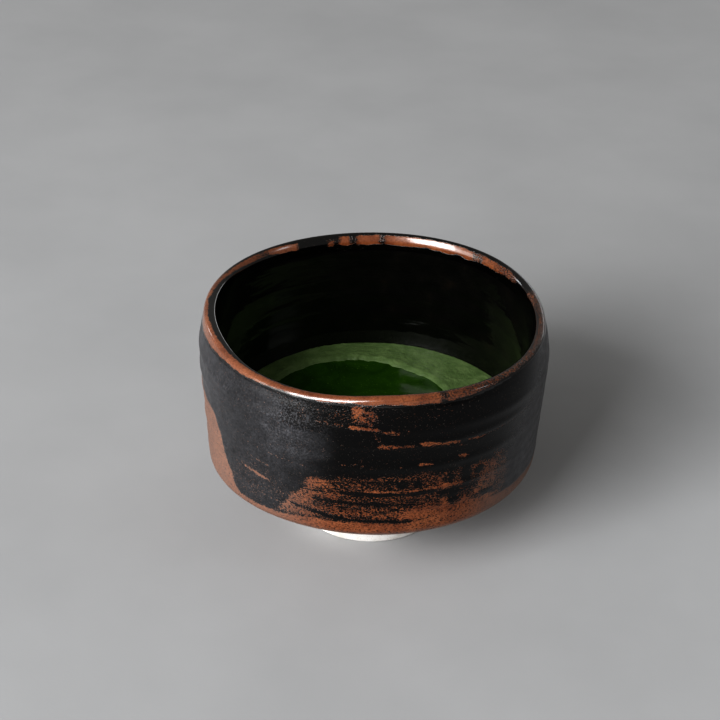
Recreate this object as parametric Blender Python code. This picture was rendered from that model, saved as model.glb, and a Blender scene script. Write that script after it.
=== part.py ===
"""Matcha bowl (chawan): a half-cylinder stoneware tea bowl holding whisked tea.

Metres, +Z up. The origin is the centre of the foot on the table, and -Y is the bowl's front face.
Every layer of the bowl is an inset of one finished section, so neighbours stay GAP apart all round.
"""

import math

import bmesh
import bpy
import numpy as np

# ---------------------------------------------------------------- driving dimensions (mm, degrees)
MM = 0.001
COLUMNS = 44  # facets round the bowl
GAP = 0.3  # between neighbouring pieces
COAT = 0.6  # glaze thickness
RIM_HEIGHT = 81.5  # table to the top of the lip
LIP_RADIUS = 1.9  # half the lip's thickness
LIP_CENTRE = 57.4  # from the axis to the middle of the lip
LIP_POINTS = 7  # section points over the lip's half circle

# The finished section, glaze included, as (radius, height) pairs. Inside: centre of the floor up to the lip.
INSIDE = [
    (0.0, 16.4), (8.0, 16.6), (18.0, 17.3), (29.0, 18.6), (38.0, 20.6), (44.5, 23.2),
    (49.0, 26.8), (51.5, 31.2), (52.8, 36.6), (53.5, 45.0), (54.3, 54.0), (54.9, 63.0),
    (55.2, 72.0), (55.4, 77.2),
]  # fmt: skip
# Outside: lip down the wall, with its throwing ridges, round the hip and in to the foot.
OUTSIDE = [
    (59.90, 76.3), (60.50, 72.9), (60.90, 69.6), (60.50, 66.4), (60.45, 63.2), (59.90, 58.8),
    (59.75, 54.4), (59.05, 49.5), (58.80, 44.3), (58.40, 42.4), (58.35, 40.1), (58.05, 38.0),
    (57.95, 35.6), (57.60, 33.6), (57.55, 31.0), (57.30, 28.6), (56.80, 26.3), (55.60, 24.5),
    (54.00, 23.2), (51.90, 21.6), (48.50, 19.4), (43.50, 16.9), (36.00, 13.4), (28.60, 10.1),
]  # fmt: skip

# The bowl is hand thrown, so its plan isn't a true circle: radius added as {harmonic: (cosine, sine)}.
RIM_LOBES = {1: (0.10, 0.60), 2: (0.10, 0.80), 3: (0.00, 0.75), 4: (-0.40, 0.00)}
HIP_LOBES = {1: (0.10, 0.60), 2: (-0.95, -0.65), 3: (-0.60, 0.00), 4: (0.20, 0.25)}
LOBES_TOP, LOBES_BASE = 79.0, 25.0  # heights where the rim's and the hip's lobes apply in full

# Nor is its lip level: it leans a little to one side and dips at the front left, and the upper wall follows it.
LEAN, LEAN_TOWARDS = 0.3, -75.0  # mm, degrees
DIP, DIP_MIDDLE, DIP_SPREAD = 2.9, -33.0, 30.0  # mm, degrees, degrees
DIP_TOP, DIP_BASE = 77.0, 56.0  # heights where the lip's drop applies in full and not at all

# Glaze lines as (degrees from the front, + to the right, height). Each one closes on itself.
RIM_BAND_OUTER = [
    (-180, 79.0), (-120, 78.8), (-60, 79.0), (-30, 78.7), (-15, 78.4), (0, 77.9), (25, 77.8),
    (45, 78.3), (75, 79.0), (130, 78.9), (180, 79.0),
]  # fmt: skip
BLACK_HEM = [
    (-180, 31.2), (-160, 32.5), (-145, 38.0), (-130, 46.0), (-115, 53.0), (-98, 56.5), (-82, 57.0),
    (-70, 54.0), (-62, 47.0), (-54, 35.0), (-47, 30.8), (-34, 30.6), (-27, 37.0), (-20, 46.5),
    (-10, 48.9), (5, 50.8), (20, 51.8), (29, 50.0), (36, 43.0), (43, 37.0), (51, 31.0),
    (90, 31.0), (120, 30.4), (150, 31.4), (180, 31.2),
]  # fmt: skip
RIM_BAND_INNER = 79.0

# Foot ring, as its own (radius, height) loop, and the underside of the body inside and above it.
FOOT_RING = [
    (27.4, 10.3), (26.9, 7.2), (26.5, 3.6), (26.2, 0.9), (25.6, 0.0), (21.4, 0.0), (20.7, 0.8),
    (20.5, 4.5), (20.5, 10.3),
]  # fmt: skip
BODY_UNDER = [(27.9, 10.6), (20.2, 10.6), (20.2, 7.3), (17.0, 7.0), (5.0, 7.0), (0.0, 6.3)]

# Tea and the froth ring that floats on it. The pond is the froth-free circle, off the bowl's axis.
TEA_LEVEL = 35.6
FROTH_TOP = 37.3
POND_CENTRE = (-5.9, 7.0)
POND_RADIUS = 33.4

COLOURS = {
    "clay_body": ((0.62, 0.55, 0.46), 0.75, 0.0),
    "foot_ring": ((0.70, 0.64, 0.55), 0.80, 0.0),
    "rust_glaze_coat": ((0.22, 0.055, 0.025), 0.35, 0.0),
    "black_glaze_coat": ((0.010, 0.009, 0.009), 0.20, 0.0),
    "rim_glaze_band": ((0.26, 0.075, 0.035), 0.30, 0.0),
    "inner_glaze_coat": ((0.008, 0.008, 0.008), 0.15, 0.0),
    "matcha_tea": ((0.035, 0.075, 0.012), 0.12, 0.0),
    "tea_froth": ((0.22, 0.30, 0.09), 0.60, 0.0),
}

ANGLES = np.radians(np.arange(COLUMNS) * 360.0 / COLUMNS - 180.0)


# ---------------------------------------------------------------- section and plan
def lip():
    """The round lip, from its inner side over the top to its outer side."""
    middle = RIM_HEIGHT - LIP_RADIUS
    turns = [math.radians(180.0 - 30.0 * i) for i in range(LIP_POINTS)]
    return [(LIP_CENTRE + LIP_RADIUS * math.cos(t), middle + LIP_RADIUS * math.sin(t)) for t in turns]


SECTION = np.array(INSIDE + lip() + OUTSIDE)
LAST = len(SECTION) - 1


def inset(distance):
    """The section moved into the clay by a distance, corners mitred. A negative distance moves it out."""
    step = np.diff(SECTION, axis=0)
    normal = np.stack([step[:, 1], -step[:, 0]], axis=1) / np.linalg.norm(step, axis=1)[:, None]
    before = np.vstack([normal[:1], normal])
    after = np.vstack([normal, normal[-1:]])
    before[0] = after[0] = (0.0, -1.0)  # the floor is level at the axis
    middle = before + after
    middle /= np.linalg.norm(middle, axis=1)[:, None]
    return SECTION + distance * middle / (middle * after).sum(axis=1)[:, None]


def lobes(amounts):
    return sum(c * np.cos(k * ANGLES) + s * np.sin(k * ANGLES) for k, (c, s) in amounts.items())


def plan_offset(height, radius):
    """Radius added in each column at a height. It fades out towards the foot and the floor's centre."""
    up = np.clip((height - LOBES_BASE) / (LOBES_TOP - LOBES_BASE), 0.0, 1.0)
    fade = np.clip((radius - 28.0) / 28.0, 0.0, 1.0)
    return (lobes(RIM_LOBES) * up + lobes(HIP_LOBES) * (1.0 - up)) * fade


def lip_drop(height):
    """How far each column of the wall is let down at a height, for the lip's lean and dip."""
    degrees = np.degrees(ANGLES)
    at_lip = LEAN * (1.0 + np.cos(np.radians(degrees - LEAN_TOWARDS)))
    at_lip += DIP * np.exp(-((np.abs(degrees - DIP_MIDDLE) / DIP_SPREAD) ** 3))
    up = np.clip((height - DIP_BASE) / (DIP_TOP - DIP_BASE), 0.0, 1.0)
    return at_lip * up * up * (3.0 - 2.0 * up)


def ring_at(radius, height, centre=(0.0, 0.0)):
    """One ring of points. Radius and height are single values, or one value for each column."""
    radius, height = np.broadcast_arrays(radius, height, ANGLES)[:2]
    x = centre[0] + radius * np.sin(ANGLES)
    y = centre[1] - radius * np.cos(ANGLES)
    return np.stack([x, y, height], axis=1)


def station_ring(moved, stations):
    """A ring on an inset section. A station counts section points, and may lie between two of them."""
    stations = np.broadcast_to(np.asarray(stations, float), ANGLES.shape)
    index = np.arange(len(SECTION))
    radius, height = (np.interp(stations, index, moved[:, i]) for i in (0, 1))
    base_r, base_z = (np.interp(stations, index, SECTION[:, i]) for i in (0, 1))
    return ring_at(radius + plan_offset(base_z, base_r), height - lip_drop(base_z))


def outer_station(heights):
    """Station on the outside at each height. One that nearly meets a section point is put on it."""
    first = len(INSIDE) + LIP_POINTS - 1
    found = np.interp(-heights, -SECTION[first:, 1], np.arange(first, LAST + 1))
    near = np.round(found)
    return np.where(np.abs(found - near) < 0.15, near, found)


def past_line(stations):
    """Stations just below a glaze line, so that the two coats it parts stay GAP apart where it runs steeply."""
    along = np.concatenate([[0.0], np.cumsum(np.linalg.norm(np.diff(SECTION, axis=0), axis=1))])
    index = np.arange(len(SECTION))
    place = np.interp(stations, index, along)
    facet = 2.0 * math.pi * LIP_CENTRE / COLUMNS
    slope = np.maximum(np.abs(place - np.roll(place, 1)), np.abs(place - np.roll(place, -1))) / facet
    return np.interp(place + GAP * np.hypot(1.0, slope), along, index)


def inner_station(height):
    last = len(INSIDE) + 1
    return float(np.interp(height, SECTION[:last, 1], np.arange(last)))


def line_heights(pairs):
    """Height of a glaze line in each column."""
    degrees, heights = zip(*pairs)
    return np.interp(np.degrees(ANGLES), degrees, heights)


# ---------------------------------------------------------------- solids
def loft(name, rings, closed_loop):
    """One closed solid from rings of points. Rings that shrink to a point become poles."""
    colour, roughness, metallic = COLOURS[name]
    bm = bmesh.new()
    rows = [[bm.verts.new(point) for point in ring * MM] for ring in rings]
    pairs = zip(rows, rows[1:] + rows[:1]) if closed_loop else zip(rows, rows[1:])
    for upper, lower in pairs:
        for i in range(COLUMNS):
            j = (i + 1) % COLUMNS
            bm.faces.new((upper[i], upper[j], lower[j], lower[i]))
    bmesh.ops.remove_doubles(bm, verts=bm.verts, dist=1e-6)
    bmesh.ops.recalc_face_normals(bm, faces=bm.faces)
    mesh = bpy.data.meshes.new(name)
    bm.to_mesh(mesh)
    bm.free()
    for polygon in mesh.polygons:
        polygon.use_smooth = True
    mesh.set_sharp_from_angle(angle=math.radians(40.0))
    node = bpy.data.objects.new(name, mesh)
    bpy.context.scene.collection.objects.link(node)

    paint = bpy.data.materials.new(name)
    paint.use_nodes = True
    shader = paint.node_tree.nodes["Principled BSDF"]
    shader.inputs["Base Color"].default_value = (*colour, 1.0)
    shader.inputs["Roughness"].default_value = roughness
    shader.inputs["Metallic"].default_value = metallic
    paint.diffuse_color = (*colour, 1.0)
    mesh.materials.append(paint)


def coat(name, start, end):
    """A glaze skin between two stations, each one value or one for each column."""
    start = np.broadcast_to(np.asarray(start, float), ANGLES.shape)
    end = np.broadcast_to(np.asarray(end, float), ANGLES.shape)
    inner_rows = range(math.ceil(start.min()), math.floor(end.max()) + 1)
    rows = [start] + [np.clip(k, start, end) for k in inner_rows] + [end]
    face, back = inset(0.0), inset(COAT)
    front = [station_ring(face, row) for row in rows]
    rear = [station_ring(back, row) for row in reversed(rows)]
    loft(name, front + rear, closed_loop=True)


def clay_body():
    """Wall, hip and floor of thrown stoneware, with the recess inside the foot in its underside."""
    moved = inset(COAT + GAP)
    rings = [station_ring(moved, k) for k in range(LAST + 1)]
    rings += [ring_at(r, z) for r, z in BODY_UNDER]
    loft("clay_body", rings, closed_loop=False)


def foot_ring():
    loft("foot_ring", [ring_at(r, z) for r, z in FOOT_RING], closed_loop=True)


def glaze_coats():
    """Three coats meet edge to edge: the lip's band, the black pour below it and the rust under that."""
    band_low = outer_station(line_heights(RIM_BAND_OUTER))
    hem = outer_station(line_heights(BLACK_HEM))
    coat("rim_glaze_band", inner_station(RIM_BAND_INNER), band_low)
    coat("black_glaze_coat", past_line(band_low), hem)
    coat("rust_glaze_coat", past_line(hem), LAST)


def inner_glaze_coat():
    """A closed bowl-shaped skin over the inside, up to the lip's band."""
    top = inner_station(RIM_BAND_INNER - GAP)
    rows = list(range(0, math.floor(top) + 1)) + [top]
    face, back = inset(0.0), inset(COAT)
    rings = [station_ring(face, k) for k in rows]
    rings += [station_ring(back, k) for k in reversed(rows)]
    loft("inner_glaze_coat", rings, closed_loop=False)


def matcha_tea():
    """The liquid, lying on the inner glaze with a flat surface."""
    moved = inset(-GAP)
    level = float(np.interp(TEA_LEVEL, moved[: len(INSIDE), 1], np.arange(len(INSIDE))))
    rows = list(range(0, math.floor(level) + 1)) + [level]
    rings = [station_ring(moved, k) for k in rows]
    shore = rings[-1]
    for share in (0.66, 0.33, 0.0):
        rings.append(np.column_stack([shore[:, :2] * share, shore[:, 2]]))
    loft("matcha_tea", rings, closed_loop=False)


def tea_froth():
    """Froth ring on the tea, rounded towards the pond it leaves open."""
    moved = inset(-GAP)
    base = TEA_LEVEL + GAP
    heights = moved[: len(INSIDE), 1]
    low, high = (float(np.interp(z, heights, np.arange(len(INSIDE)))) for z in (base, FROTH_TOP - 0.5))
    wall_low, wall_high = station_ring(moved, low), station_ring(moved, high)
    pond_edge = ring_at(POND_RADIUS, base, POND_CENTRE)
    pond_brow = ring_at(POND_RADIUS + 0.3, base + 0.7, POND_CENTRE)
    pond_back = ring_at(POND_RADIUS + 1.6, FROTH_TOP, POND_CENTRE)
    crest = 0.25 * pond_back + 0.75 * wall_high
    crest[:, 2] = FROTH_TOP
    rings = [wall_low, wall_high, crest, pond_back, pond_brow, pond_edge]
    loft("tea_froth", rings, closed_loop=True)


for old in list(bpy.data.objects):
    bpy.data.objects.remove(old, do_unlink=True)

clay_body()
foot_ring()
glaze_coats()
inner_glaze_coat()
matcha_tea()
tea_froth()
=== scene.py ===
"""Looks of the matcha bowl: glaze, bare foot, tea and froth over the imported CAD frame."""

import math

import bpy
import numpy as np
from mathutils import Matrix, Vector


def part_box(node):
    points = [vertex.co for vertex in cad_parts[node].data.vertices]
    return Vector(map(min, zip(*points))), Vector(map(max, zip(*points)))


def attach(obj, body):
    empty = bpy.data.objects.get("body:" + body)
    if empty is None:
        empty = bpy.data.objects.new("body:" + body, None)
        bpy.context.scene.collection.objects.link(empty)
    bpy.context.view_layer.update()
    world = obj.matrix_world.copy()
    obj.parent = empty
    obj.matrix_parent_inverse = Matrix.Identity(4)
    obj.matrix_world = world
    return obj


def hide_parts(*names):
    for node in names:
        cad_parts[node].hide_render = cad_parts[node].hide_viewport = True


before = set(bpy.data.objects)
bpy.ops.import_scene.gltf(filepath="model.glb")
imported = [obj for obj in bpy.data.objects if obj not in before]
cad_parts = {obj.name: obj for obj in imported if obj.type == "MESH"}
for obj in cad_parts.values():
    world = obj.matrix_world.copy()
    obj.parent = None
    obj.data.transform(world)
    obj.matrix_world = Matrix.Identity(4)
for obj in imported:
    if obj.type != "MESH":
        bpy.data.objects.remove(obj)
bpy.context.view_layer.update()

MM = 0.001
RIM_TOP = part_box("rim_glaze_band")[1][2] / MM
TEA_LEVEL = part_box("matcha_tea")[1][2] / MM
FROTH_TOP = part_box("tea_froth")[1][2] / MM
FOOT_WIDTH = (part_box("foot_ring")[1][0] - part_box("foot_ring")[0][0]) / MM

# ---------------------------------------------------------------- the bowl's finished section (mm)
LIP_RADIUS, LIP_CENTRE = 1.9, 57.4
# (radius, height) from the middle of the floor up to the lip, and from the lip down to the foot.
INSIDE = [
    (0.0, 16.4), (8.0, 16.6), (18.0, 17.3), (29.0, 18.6), (38.0, 20.6), (44.5, 23.2),
    (49.0, 26.8), (51.5, 31.2), (52.8, 36.6), (53.5, 45.0), (54.3, 54.0), (54.9, 63.0),
    (55.2, 72.0), (55.4, 77.2),
]  # fmt: skip
OUTSIDE = [
    (59.90, 76.3), (60.45, 72.9), (60.70, 69.6), (60.60, 66.4), (60.40, 63.2), (59.98, 58.8),
    (59.62, 54.4), (59.15, 49.5), (58.65, 44.3), (58.22, 40.1), (57.82, 35.6), (57.50, 31.0),
    (57.25, 28.6), (56.75, 26.3), (55.60, 24.5), (54.00, 23.2), (51.90, 21.6), (48.50, 19.4),
    (43.50, 16.9), (36.00, 13.4), (28.60, 10.1),
]  # fmt: skip
# The plan isn't a true circle. For each number of waves round the bowl: (cosine, sine) amounts in mm.
RIM_LOBES = {1: (0.10, 0.60), 2: (0.10, 0.80), 3: (0.00, 0.75), 4: (-0.40, 0.00)}
HIP_LOBES = {1: (0.10, 0.60), 2: (-0.95, -0.65), 3: (-0.60, 0.00), 4: (0.20, 0.25)}
LOBES_TOP, LOBES_BASE = 79.0, 25.0  # heights where the rim's and the hip's plan apply in full
LOBES_FROM, LOBES_FADE = 28.0, 28.0  # radius where the lobes begin, and the width over which they grow
WALL_RADIUS = 59.0  # turns angles round the wall into lengths

# The lip leans a little to one side and dips at the front left (mm, degrees).
LEAN, LEAN_TOWARDS = 0.3, -75.0
DIP, DIP_MIDDLE, DIP_SPREAD = 2.9, -33.0, 30.0
DIP_TOP, DIP_BASE = 77.0, 56.0  # heights where the lip's drop applies in full and not at all

# Throwing ridges: height at the front, rise per radian to the right, height of the ridge, half width.
RIDGES = [
    (76.2, 0.0, 0.10, 1.6), (69.8, -0.3, 0.24, 1.7), (63.3, 1.2, 0.26, 1.5), (54.6, 0.2, 0.26, 1.8),
    (49.3, 0.0, 0.12, 1.6), (43.9, -0.2, 0.24, 1.1), (40.4, 0.0, 0.14, 1.2), (36.3, 0.1, 0.16, 1.3),
    (32.0, 0.0, 0.12, 1.2),
]  # fmt: skip

# Ridges between the finger grooves inside: height, how far they stand out, half width.
INNER_RIDGES = [
    (73.5, 0.10, 1.8), (64.5, 0.16, 2.4), (56.5, 0.14, 2.2), (48.0, 0.16, 2.4), (41.5, 0.12, 2.0),
]  # fmt: skip

# ---------------------------------------------------------------- glaze lines
# Each point starts with its degrees from the front, + to the right.
# Where the black pour ends: height.
BLACK_HEM = [
    (-180, 31.2), (-160, 32.5), (-145, 38.0), (-130, 46.0), (-115, 53.0), (-98, 56.5), (-82, 57.0),
    (-70, 54.0), (-62, 47.0), (-54, 35.0), (-47, 30.8), (-34, 30.6), (-27, 37.0), (-20, 46.5),
    (-10, 48.9), (5, 50.8), (20, 51.8), (29, 50.0), (36, 43.0), (43, 37.0), (51, 31.0),
    (90, 31.0), (120, 30.4), (150, 31.4), (180, 31.2),
]  # fmt: skip
# Top of the plain rust at the hip all round, and on the side where the pour stops high: height.
RUST_AT_HIP = [
    (-180, 31.2), (-62, 31.0), (-54, 28.6), (-36, 27.9), (-30, 28.6), (-20, 29.6), (12, 29.8), (24, 31.2),
    (180, 31.2),
]  # fmt: skip
RUST_AT_SIDE = [
    (-180, 31.0), (-160, 32.5), (-145, 38.0), (-130, 46.0), (-115, 53.0), (-98, 56.5), (-82, 57.0),
    (-70, 54.7), (-64, 52.8), (-60, 47.0), (-57, 38.0), (-52, 30.0), (-48, 27.0), (180, 20.0),
]  # fmt: skip
BAND_SEAM = 75.5  # height inside where the lip's glaze meets the inside's
# How far the lip's rust reaches inside the crest: mm along the section.
BAND_REACH = [
    (-180, 4.9), (-160, 4.6), (-140, 3.4), (-120, 1.9), (-106, 0.7), (-95, -0.1), (-62, -0.3), (-50, 0.0),
    (-35, 0.4), (0, 0.6), (50, 0.5), (85, 0.9), (105, 2.8), (125, 4.4), (150, 4.9), (180, 4.9),
]  # fmt: skip
# The lower edge of the lip's rust on the outside: height on the section of a level lip.
LIP_RUST = [
    (-180, 79.6), (-125, 79.6), (-108, 78.2), (-95, 77.3), (-80, 77.2), (-66, 78.2), (-55, 79.2),
    (-42, 80.0), (-22, 80.4), (-8, 79.7), (4, 79.2), (20, 79.0), (30, 79.3), (38, 80.0), (46, 80.8),
    (72, 80.9), (90, 80.2), (130, 79.8), (180, 79.6),
]  # fmt: skip
LIP_ZONE_BASE = 70.0  # the lip's rust is all above this height on the outside
LIP_PIECE_MARGIN = 0.5  # mm of black below the lip's rust that still belong to the lip's piece
LIP_PIECE_REACH = 10.0  # mm along the section within which that piece ends
REAR_LIP_LINE, REAR_FROM = 80.7, 112.0  # at the rear that piece ends at this height (mm, degrees)
# Where black runs over the lip: degrees, half width in degrees, share of the rust that it hides.
LIP_GAPS = [
    (-156, 8.0, 0.85), (-171.5, 1.8, 0.6), (177, 1.1, 0.5), (110, 5.0, 0.75), (139, 3.0, 0.3),
    (-133, 2.5, 0.35), (21.5, 1.4, 0.4),
]  # fmt: skip
POUR_STANDS = 0.10  # mm that the black pour stands proud of the rust

# ---------------------------------------------------------------- marks in the glaze
# Points are (degrees, height).
# Strokes: start, end, width in mm, amount of rust. A negative amount is black.
GROOVES = [  # the first is the ridge above the widest groove, bare of black
    ((-2, 44.0), (31, 44.2), 1.0, 0.45), ((-13, 42.9), (22, 42.8), 1.7, -0.75),
    ((-24, 41.6), (-13, 42.4), 1.2, -0.30), ((-20, 38.6), (14, 38.2), 1.3, -0.34),
    ((-28, 34.2), (-17, 32.8), 1.2, -0.55), ((-17, 32.2), (-9, 31.6), 1.2, -0.55),
    ((-9, 31.2), (14, 31.0), 1.2, -0.55), ((-8, 47.6), (16, 48.3), 1.6, -0.22),
]  # fmt: skip
DASHES = [  # where the glaze runs thin over the throwing ridges
    ((-18, 70.3), (-9, 70.1), 0.9, 0.36), ((-7, 70.0), (1.5, 69.8), 1.8, 0.86),
    ((3.5, 69.2), (8, 68.5), 1.5, 0.62), ((0.5, 68.4), (2.5, 64.6), 1.5, 0.42),
    ((2, 63.4), (8, 63.2), 1.7, 0.78), ((8, 63.5), (13, 63.6), 1.4, 0.70),
    ((14.5, 64.2), (21, 63.4), 2.1, 0.88), ((20, 63.5), (27, 62.7), 1.8, 0.82),
    ((30, 62.5), (36, 62.2), 1.3, 0.70), ((36, 62.4), (52, 63.6), 0.7, 0.34),
    ((52, 63.6), (68, 65.0), 0.6, 0.30), ((-40, 33.6), (-30, 32.6), 0.8, 0.34),
    ((15, 55.4), (19.5, 54.9), 1.4, 0.88), ((28, 56.4), (30.5, 56.0), 1.5, 0.80),
    ((-48, 41.6), (-36, 40.4), 1.4, 0.58), ((-41, 40.9), (-38, 40.4), 1.6, 0.40),
    ((-44, 47.4), (-34, 46.0), 0.9, 0.32), ((-35, 37.3), (-28, 37.0), 0.9, 0.36),
    ((-45, 52.6), (-20, 51.4), 0.6, 0.30),
]  # fmt: skip
# Ovals: centre, half widths in (degrees, mm), amount of rust.
WINDOW_SPOTS = [
    ((10, 46.8), (1.8, 1.3), -0.6), ((15, 46.6), (1.5, 1.3), -0.55), ((18, 43.0), (3.0, 1.0), -0.5),
    ((25, 47.5), (2.2, 1.8), -0.5), ((27, 41.0), (3.4, 2.2), -0.62), ((29, 36.5), (2.6, 1.6), -0.55),
    ((3, 35.2), (2.0, 0.9), -0.3), ((-9, 36.2), (2.2, 0.9), -0.3),
]  # fmt: skip
SPECKS = [(-9, 54.8), (-3, 54.8), (9, 54.6), (-5.5, 55.3), (28, 61.1), (11, 69.2)]
SPECK_SIZE, SPECK_AMOUNT = (0.7, 0.5), 0.5

# The froth-free pond on the tea.
POND_CENTRE = np.array([-5.9, 7.0])
POND_RADIUS = 33.4
FROTH_FOOT, FROTH_EDGE = 0.06, 0.01  # heights over the tea: under the froth, and at its two shores
BUBBLES, BUBBLE_RISE = 4200, 0.30  # bubbles in the froth, and how much of a half ball each shows


# ---------------------------------------------------------------- numbers and curves
def lip_points():
    """The half circle over the lip, from its inner side to its outer side."""
    turns = np.radians(180.0 - 30.0 * np.arange(7))
    middle = RIM_TOP - LIP_RADIUS
    return [(LIP_CENTRE + LIP_RADIUS * math.cos(t), middle + LIP_RADIUS * math.sin(t)) for t in turns]


def smooth_curve(points, pieces=24):
    """A centripetal Catmull-Rom curve through the points, as dense points."""
    p = np.array(points, float)
    p = np.vstack([2 * p[0] - p[1], p, 2 * p[-1] - p[-2]])
    out = []
    for a, b, c, d in zip(p, p[1:], p[2:], p[3:]):
        t1 = np.linalg.norm(b - a) ** 0.5
        t2 = t1 + np.linalg.norm(c - b) ** 0.5
        t3 = t2 + np.linalg.norm(d - c) ** 0.5
        t = np.linspace(t1, t2, pieces, endpoint=False)[:, None]
        ab = a + (b - a) * t / t1
        bc = b + (c - b) * (t - t1) / (t2 - t1)
        cd = c + (d - c) * (t - t2) / (t3 - t2)
        abc = ab + (bc - ab) * t / t2
        bcd = bc + (cd - bc) * (t - t1) / (t3 - t1)
        out.append(abc + (bcd - abc) * (t - t1) / (t2 - t1))
    return np.vstack(out + [p[-2:-1]])


def smoothstep(low, high, value):
    t = np.clip((value - low) / (high - low), 0.0, 1.0)
    return t * t * (3.0 - 2.0 * t)


def line_at(pairs, degrees):
    """A glaze line's value at some degrees round the bowl."""
    at, values = zip(*pairs)
    return np.interp(degrees, at, values)


def waves(x, y, z, seed, low=6.0, high=30.0, flat=1.0, count=18):
    """Smooth seeded unevenness, about -1 to 1, in waves of low to high mm. Flat above 1 lays them level."""
    rng = np.random.default_rng(seed)
    total = np.zeros(np.broadcast(x, y, z).shape)
    for _ in range(count):
        pitch = 2.0 * np.pi / rng.uniform(low, high)
        way = rng.normal(size=3)
        way /= np.linalg.norm(way)
        run = x * way[0] + y * way[1] + z * way[2] * flat
        total += np.sin(pitch * run + rng.uniform(0, 2 * np.pi))
    return total / math.sqrt(count)


def wall_waves(theta, z, seed, **span):
    """The same unevenness on the wall, so that it joins up with itself at the back."""
    return waves(WALL_RADIUS * np.sin(theta), -WALL_RADIUS * np.cos(theta), z, seed, **span)


def lobes(amounts, theta):
    return sum(c * np.cos(count * theta) + s * np.sin(count * theta) for count, (c, s) in amounts.items())


def plan_offset(theta, radius, height):
    """How far the plan departs from a circle. Nothing of it is left at the foot."""
    up = np.clip((height - LOBES_BASE) / (LOBES_TOP - LOBES_BASE), 0.0, 1.0)
    fade = np.clip((radius - LOBES_FROM) / LOBES_FADE, 0.0, 1.0)
    return (lobes(RIM_LOBES, theta) * up + lobes(HIP_LOBES, theta) * (1.0 - up)) * fade


def lip_drop(theta, height):
    """How far the wall is let down at a height of the section, for the lip's lean and dip."""
    degrees = np.degrees(theta)
    at_lip = LEAN * (1.0 + np.cos(np.radians(degrees - LEAN_TOWARDS)))
    at_lip = at_lip + DIP * np.exp(-((np.abs(degrees - DIP_MIDDLE) / DIP_SPREAD) ** 3))
    return at_lip * smoothstep(DIP_BASE, DIP_TOP, height)


SECTION = smooth_curve(INSIDE + lip_points() + OUTSIDE)
ALONG = np.concatenate([[0.0], np.cumsum(np.linalg.norm(np.diff(SECTION, axis=0), axis=1))])
ALONG -= ALONG[np.argmax(SECTION[:, 1])]  # zero at the lip's crest, + down the outside
TANGENT_STEP = 0.2


def at_outside(height):
    """Distance along the section from the crest to a height on the outside."""
    out = ALONG >= 0
    return float(np.interp(-height, -SECTION[out, 1], ALONG[out]))


def at_inside(height):
    """Distance along the section from the crest to a height inside, which is negative."""
    inner = ALONG <= 0
    return float(np.interp(height, SECTION[inner, 1], ALONG[inner]))


def section_at(along, inset=0.0):
    """Radius and height at distances along the section, moved into the clay by inset."""
    radius, height = np.interp(along, ALONG, SECTION[:, 0]), np.interp(along, ALONG, SECTION[:, 1])
    if inset:
        after, before = along + TANGENT_STEP, along - TANGENT_STEP
        dr = np.interp(after, ALONG, SECTION[:, 0]) - np.interp(before, ALONG, SECTION[:, 0])
        dz = np.interp(after, ALONG, SECTION[:, 1]) - np.interp(before, ALONG, SECTION[:, 1])
        size = np.hypot(dr, dz)
        radius, height = radius + inset * dz / size, height - inset * dr / size
    return radius, height


def columns(count, closeness=0.0):
    """Angles round the bowl, set closer together at the front by closeness."""
    u = np.linspace(-np.pi, np.pi, count, endpoint=False)
    return u - closeness * np.sin(u)


def ring_points(radius, theta, height):
    radius, theta, height = np.broadcast_arrays(radius, theta, height)
    return np.stack([radius * np.sin(theta), -radius * np.cos(theta), height], axis=-1)


# ---------------------------------------------------------------- mesh making
def grid_normals(points):
    """Unit normals of a grid that closes on itself from side to side."""
    across = np.roll(points, -1, axis=1) - np.roll(points, 1, axis=1)
    down = np.gradient(points, axis=0)
    normal = np.cross(down, across)
    size = np.linalg.norm(normal, axis=-1, keepdims=True)
    return normal / np.maximum(size, 1e-12)


def mesh_object(name, points, quads, fields=None, normals=None, material=None):
    """An object from points (mm), quads and per-point fields. Unused points are dropped."""
    used = np.unique(quads)
    renumber = np.full(len(points), -1)
    renumber[used] = np.arange(len(used))
    mesh = bpy.data.meshes.new(name)
    mesh.from_pydata((points[used] * MM).tolist(), [], renumber[quads].tolist())
    for key, values in (fields or {}).items():
        layer = mesh.attributes.new(key, "FLOAT", "POINT")
        layer.data.foreach_set("value", values[used].astype(np.float32))
    mesh.polygons.foreach_set("use_smooth", np.ones(len(mesh.polygons), bool))
    if normals is not None:
        mesh.normals_split_custom_set_from_vertices(normals[used].tolist())
    mesh.materials.append(material)
    mesh.update()
    piece = bpy.data.objects.new(name, mesh)
    bpy.context.scene.collection.objects.link(piece)
    return piece


def grid_quads(rows, cols, outward=True):
    """Quads of a grid whose last column joins its first, as a (rows-1, cols, 4) array."""
    r, c = np.meshgrid(np.arange(rows - 1), np.arange(cols), indexing="ij")
    nxt = (c + 1) % cols
    quad = np.stack([r * cols + c, (r + 1) * cols + c, (r + 1) * cols + nxt, r * cols + nxt], axis=-1)
    return quad if outward else quad[..., ::-1]


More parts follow.
